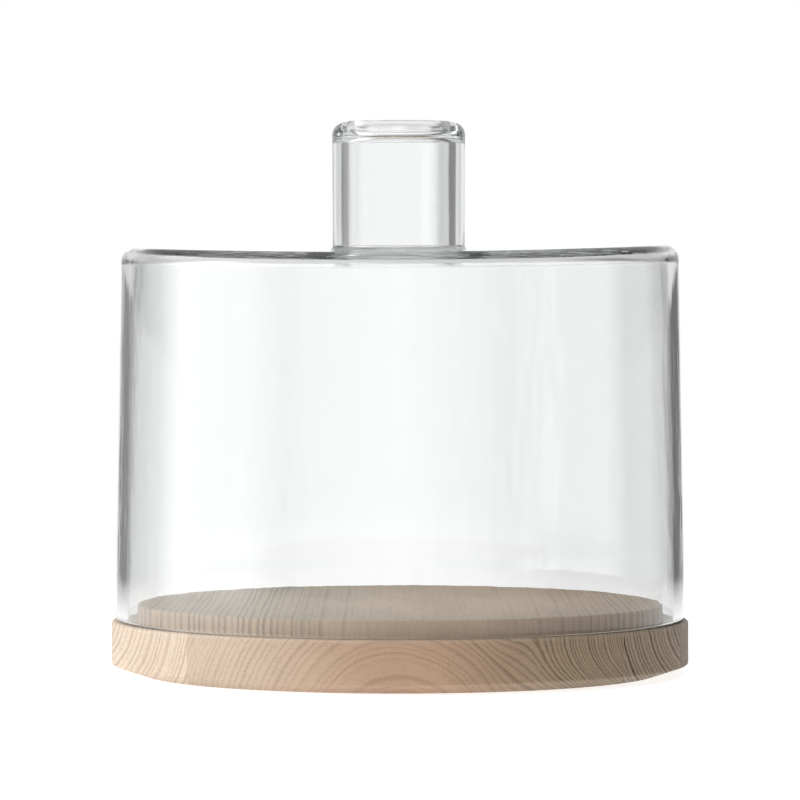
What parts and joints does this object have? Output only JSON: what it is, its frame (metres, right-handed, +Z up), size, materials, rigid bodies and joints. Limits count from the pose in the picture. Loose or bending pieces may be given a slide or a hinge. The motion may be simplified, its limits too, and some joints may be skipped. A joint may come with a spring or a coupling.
{
  "type": "cake stand dome",
  "caption": "Round ash cake stand with a raised platform and an undercut foot, covered by a blown glass dome with a thick hollow handle that lifts straight off.",
  "frame": {"origin": "centre of the base's underside, on the surface that it stands on", "axes": "+Z up along the stand's axis of symmetry; -Y is the front, where the wide stave shows its heart rings; +X is the viewer's right"},
  "size_m": [0.26, 0.26, 0.2485],
  "materials": {
    "ash_pale": "pale oiled ash, end grain towards the front",
    "ash_heart": "oiled ash with pinkish heart rings",
    "ash_dark": "oiled ash with close dark growth rings",
    "ash_platform": "smooth sanded and oiled ash",
    "blown_glass": "clear mouth-blown soda glass, polished"
  },
  "bodies": {
    "base": {"base_stave_left": "ash_pale", "base_stave_centre": "ash_heart", "base_stave_right": "ash_dark", "base_stave_edge": "ash_dark", "cake_platform": "ash_platform"},
    "dome": {"glass_dome": "blown_glass", "glass_handle": "blown_glass"}
  },
  "joints": [
    {"name": "dome_lift", "type": "slide", "parent": "base", "child": "dome", "axis": [0, 0, 1], "range_m": [0, 0.2]}
  ]
}
